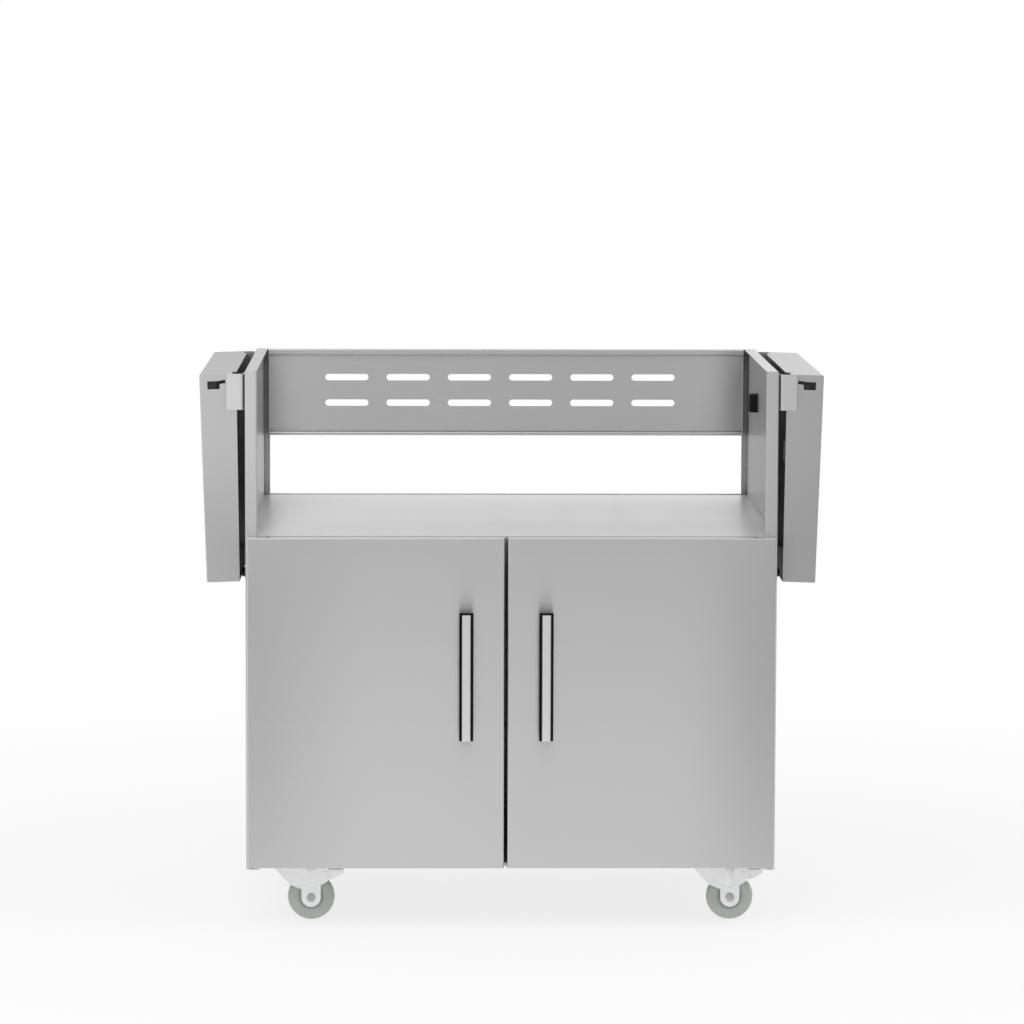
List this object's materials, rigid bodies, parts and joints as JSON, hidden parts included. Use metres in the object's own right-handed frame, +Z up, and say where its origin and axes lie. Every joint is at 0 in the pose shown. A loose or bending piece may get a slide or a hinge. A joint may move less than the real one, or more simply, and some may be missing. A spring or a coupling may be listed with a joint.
{
  "type": "grill cart",
  "caption": "Free-standing stainless steel grill cart: open grill bay with slotted back over a cabinet with doors, fold-down side shelves, swivel casters with brakes.",
  "frame": {"origin": "middle of the bounding box, on the floor under the wheels", "axes": "+X to the right along the doors, +Y from the doors to the back, +Z up"},
  "size_m": [1.0204, 0.614, 0.921],
  "materials": {
    "stainless": "brushed",
    "handle_steel": "satin",
    "handle_black": "satin black",
    "zinc_steel": "bright zinc",
    "black_plastic": "matte",
    "bumper_rubber": "matte",
    "bush_nylon": "matte",
    "wheel_grey": "smooth grey rubber",
    "hub_grey": "moulded"
  },
  "bodies": {
    "cart": {"side_panel_left": "stainless", "side_panel_right": "stainless", "deck": "stainless", "front_header": "stainless", "base_pan": "stainless", "back_panel": "stainless", "vent_panel": "stainless", "side_liner_left": "stainless", "side_liner_right": "stainless", "panel_screws": "zinc_steel", "junction_box": "black_plastic", "door_pivots": "zinc_steel", "magnet_catches": "black_plastic", "shelf_brackets_left": "stainless", "shelf_brackets_right": "stainless", "bracket_bolts": "zinc_steel", "shelf_bumpers": "bumper_rubber", "caster_plates": "zinc_steel", "swivel_bearings": "zinc_steel", "backing_plates": "zinc_steel", "caster_bolts": "zinc_steel", "caster_nuts": "zinc_steel"},
    "door_left": {"door_skin_left": "stainless", "door_liner_left": "stainless", "pivot_bushes_left": "bush_nylon", "strike_plate_left": "zinc_steel", "handle_bar_left": "handle_steel", "handle_channel_left": "handle_black", "handle_mounts_left": "handle_steel"},
    "shelf_pivot_left": {"shelf_pins_left": "zinc_steel"},
    "shelf_left": {"shelf_pan_left": "stainless", "shelf_stiffener_left": "stainless"},
    "door_right": {"door_skin_right": "stainless", "door_liner_right": "stainless", "pivot_bushes_right": "bush_nylon", "strike_plate_right": "zinc_steel", "handle_bar_right": "handle_steel", "handle_channel_right": "handle_black", "handle_mounts_right": "handle_steel"},
    "shelf_pivot_right": {"shelf_pins_right": "zinc_steel"},
    "shelf_right": {"shelf_pan_right": "stainless", "shelf_stiffener_right": "stainless"},
    "caster_front_left": {"caster_fork_front_left": "zinc_steel", "caster_axle_front_left": "zinc_steel"},
    "wheel_front_left": {"wheel_hub_front_left": "hub_grey", "wheel_tyre_front_left": "wheel_grey"},
    "caster_front_right": {"caster_fork_front_right": "zinc_steel", "caster_axle_front_right": "zinc_steel"},
    "wheel_front_right": {"wheel_hub_front_right": "hub_grey", "wheel_tyre_front_right": "wheel_grey"},
    "caster_rear_left": {"caster_fork_rear_left": "zinc_steel", "caster_axle_rear_left": "zinc_steel"},
    "wheel_rear_left": {"wheel_hub_rear_left": "hub_grey", "wheel_tyre_rear_left": "wheel_grey"},
    "caster_rear_right": {"caster_fork_rear_right": "zinc_steel", "caster_axle_rear_right": "zinc_steel"},
    "wheel_rear_right": {"wheel_hub_rear_right": "hub_grey", "wheel_tyre_rear_right": "wheel_grey"},
    "pedal_front_left": {"brake_pedal_front_left": "zinc_steel"},
    "pedal_front_right": {"brake_pedal_front_right": "zinc_steel"}
  },
  "joints": [
    {"name": "door_left_swing", "type": "hinge", "parent": "cart", "child": "door_left", "pos_m": [-0.425, -0.253, 0.377], "axis": [0, 0, -1], "range_deg": [0, 105]},
    {"name": "door_right_swing", "type": "hinge", "parent": "cart", "child": "door_right", "pos_m": [0.425, -0.253, 0.377], "axis": [0, 0, 1], "range_deg": [0, 105]},
    {"name": "shelf_left_fold", "type": "hinge", "parent": "cart", "child": "shelf_pivot_left", "pos_m": [-0.4626, 0.0325, 0.9045], "axis": [0, 1, 0], "range_deg": [0, 91.9]},
    {"name": "shelf_left_drop", "type": "slide", "parent": "shelf_pivot_left", "child": "shelf_left", "axis": [0.9851, 0, 0.1719], "range_m": [0, 0.0221]},
    {"name": "shelf_right_fold", "type": "hinge", "parent": "cart", "child": "shelf_pivot_right", "pos_m": [0.4626, 0.0325, 0.9045], "axis": [0, -1, 0], "range_deg": [0, 91.9]},
    {"name": "shelf_right_drop", "type": "slide", "parent": "shelf_pivot_right", "child": "shelf_right", "axis": [-0.9851, 0, 0.1719], "range_m": [0, 0.0221]},
    {"name": "caster_front_left_swivel", "type": "hinge", "parent": "cart", "child": "caster_front_left", "pos_m": [-0.3485, -0.16, 0.0992], "axis": [0, 0, 1], "continuous": true},
    {"name": "wheel_front_left_roll", "type": "hinge", "parent": "caster_front_left", "child": "wheel_front_left", "pos_m": [-0.3305, -0.16, 0.039], "axis": [0, 1, 0], "continuous": true},
    {"name": "caster_front_right_swivel", "type": "hinge", "parent": "cart", "child": "caster_front_right", "pos_m": [0.3485, -0.16, 0.0992], "axis": [0, 0, 1], "continuous": true},
    {"name": "wheel_front_right_roll", "type": "hinge", "parent": "caster_front_right", "child": "wheel_front_right", "pos_m": [0.3665, -0.16, 0.039], "axis": [0, 1, 0], "continuous": true},
    {"name": "caster_rear_left_swivel", "type": "hinge", "parent": "cart", "child": "caster_rear_left", "pos_m": [-0.3485, 0.225, 0.0992], "axis": [0, 0, 1], "continuous": true},
    {"name": "wheel_rear_left_roll", "type": "hinge", "parent": "caster_rear_left", "child": "wheel_rear_left", "pos_m": [-0.3305, 0.225, 0.039], "axis": [0, 1, 0], "continuous": true},
    {"name": "caster_rear_right_swivel", "type": "hinge", "parent": "cart", "child": "caster_rear_right", "pos_m": [0.3485, 0.225, 0.0992], "axis": [0, 0, 1], "continuous": true},
    {"name": "wheel_rear_right_roll", "type": "hinge", "parent": "caster_rear_right", "child": "wheel_rear_right", "pos_m": [0.3665, 0.225, 0.039], "axis": [0, 1, 0], "continuous": true},
    {"name": "pedal_front_left_press", "type": "hinge", "parent": "caster_front_left", "child": "pedal_front_left", "pos_m": [-0.3085, -0.16, 0.08], "axis": [0, 1, 0], "range_deg": [0, 10]},
    {"name": "pedal_front_right_press", "type": "hinge", "parent": "caster_front_right", "child": "pedal_front_right", "pos_m": [0.3885, -0.16, 0.08], "axis": [0, 1, 0], "range_deg": [0, 10]}
  ],
  "couplings": [
    {"joint": "shelf_left_drop", "follows": "shelf_left_fold", "m_per_rad": 0.013716},
    {"joint": "shelf_right_drop", "follows": "shelf_right_fold", "m_per_rad": 0.013716}
  ]
}
